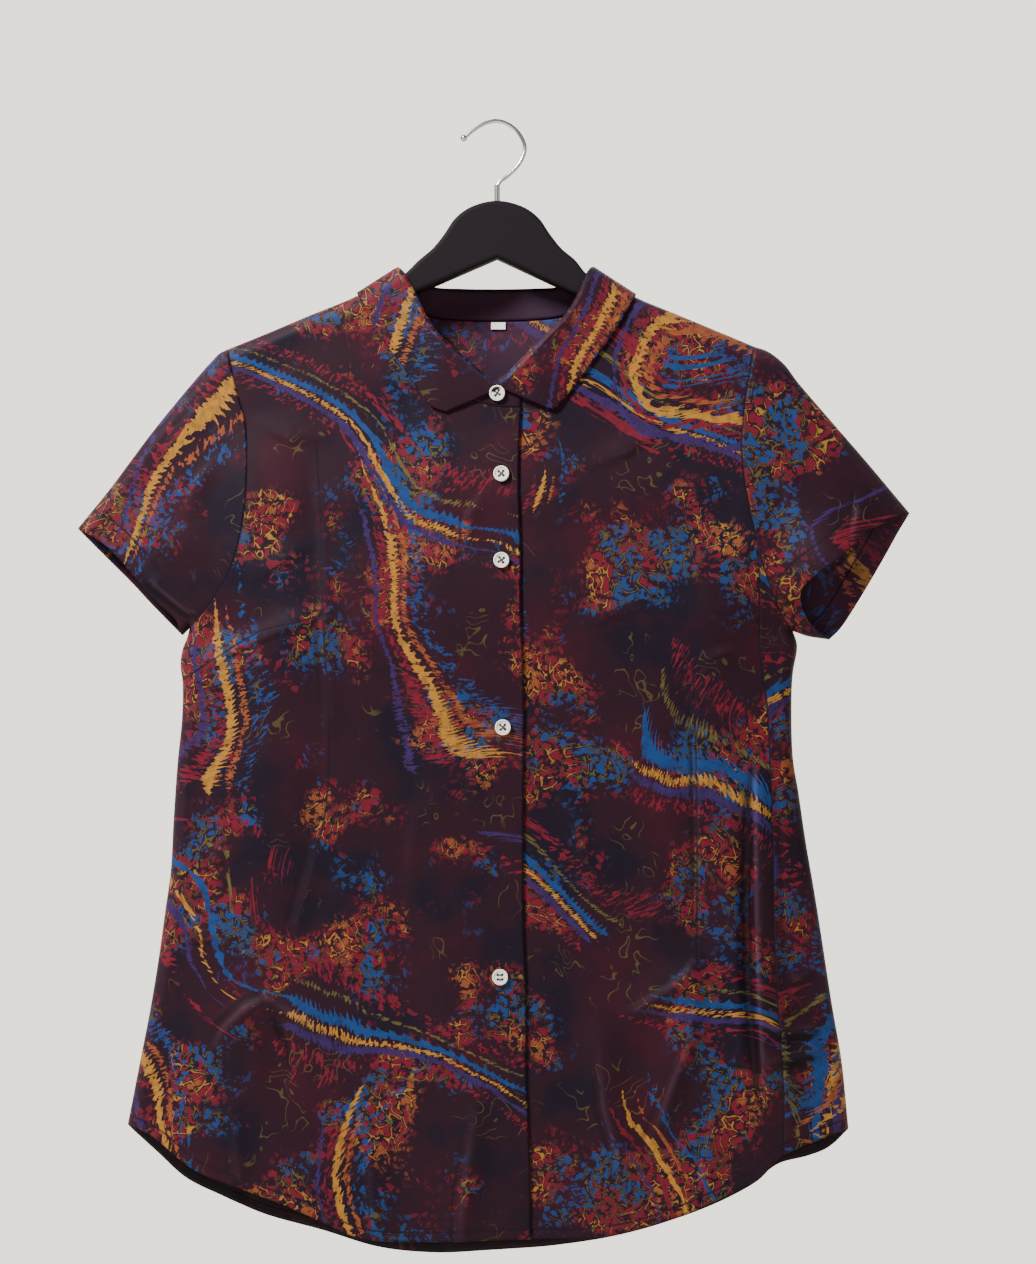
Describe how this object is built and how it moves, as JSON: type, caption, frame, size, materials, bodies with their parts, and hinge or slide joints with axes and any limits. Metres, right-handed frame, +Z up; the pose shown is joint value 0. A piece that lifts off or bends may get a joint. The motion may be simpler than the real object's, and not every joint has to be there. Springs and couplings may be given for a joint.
{
  "type": "collared shirt on a hanger",
  "caption": "Short-sleeved button-front shirt with a pointed collar, bust and waist darts and a curved hem, hanging on a shaped hanger with a wire hook.",
  "frame": {"origin": "inside top of the hanger's hook, where it hangs", "axes": "+Z up, +X to the right of someone who looks at the front, +Y from the front to the back"},
  "size_m": [0.6005, 0.0585, 0.8227],
  "materials": {
    "cloth": "plain woven, all-over print on a dark aubergine ground, soft sheen",
    "label": "woven tape, bare",
    "button": "off-white resin, polished",
    "hanger": "satin black, smooth",
    "hook": "bright plated wire"
  },
  "bodies": {
    "root": {"front_right": "cloth", "front_left": "cloth", "back": "cloth", "sleeve_right": "cloth", "sleeve_left": "cloth", "collar_stand": "cloth", "collar_fall": "cloth", "neck_label": "label", "button_1": "button", "button_2": "button", "button_3": "button", "button_4": "button", "button_5": "button", "hanger_body": "hanger", "hanger_hook": "hook"}
  },
  "joints": []
}
